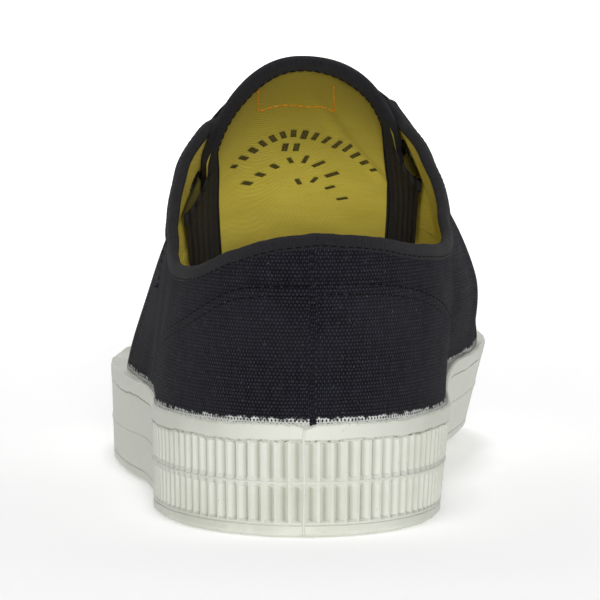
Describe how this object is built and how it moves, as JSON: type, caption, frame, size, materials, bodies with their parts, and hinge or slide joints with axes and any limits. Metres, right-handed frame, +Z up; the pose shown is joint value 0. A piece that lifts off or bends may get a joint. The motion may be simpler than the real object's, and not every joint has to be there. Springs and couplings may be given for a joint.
{
  "type": "canvas sneaker",
  "caption": "Low lace-up canvas sneaker for the left foot, with a tall ribbed off-white rubber side wall, stitched heel counter and lined tongue.",
  "frame": {"origin": "on the floor under the middle of the shoe's box", "axes": "+Z up, heel towards +Y, toe towards -Y, lateral (outer) side towards +X"},
  "size_m": [0.1101, 0.296, 0.1172],
  "materials": {
    "rubber": "satin moulded rubber, off-white",
    "canvas": "coarse plain-weave cotton canvas, black",
    "tape": "matte cotton tape, black",
    "twill": "cotton twill lining, yellow",
    "elastic": "ribbed woven elastic, black",
    "thread": "sewing thread",
    "lace": "flat woven cotton lace, black",
    "eyelet": "black enamelled eyelet"
  },
  "bodies": {
    "root": {"sole": "rubber", "upper": "canvas", "heel_counter": "canvas", "tongue": "twill", "insole": "twill", "laces": "lace", "eyelet_lateral_1": "eyelet", "eyelet_lateral_2": "eyelet", "eyelet_lateral_3": "eyelet", "eyelet_lateral_4": "eyelet", "eyelet_lateral_5": "eyelet", "eyelet_lateral_6": "eyelet", "eyelet_medial_1": "eyelet", "eyelet_medial_2": "eyelet", "eyelet_medial_3": "eyelet", "eyelet_medial_4": "eyelet", "eyelet_medial_5": "eyelet", "eyelet_medial_6": "eyelet"}
  },
  "joints": []
}
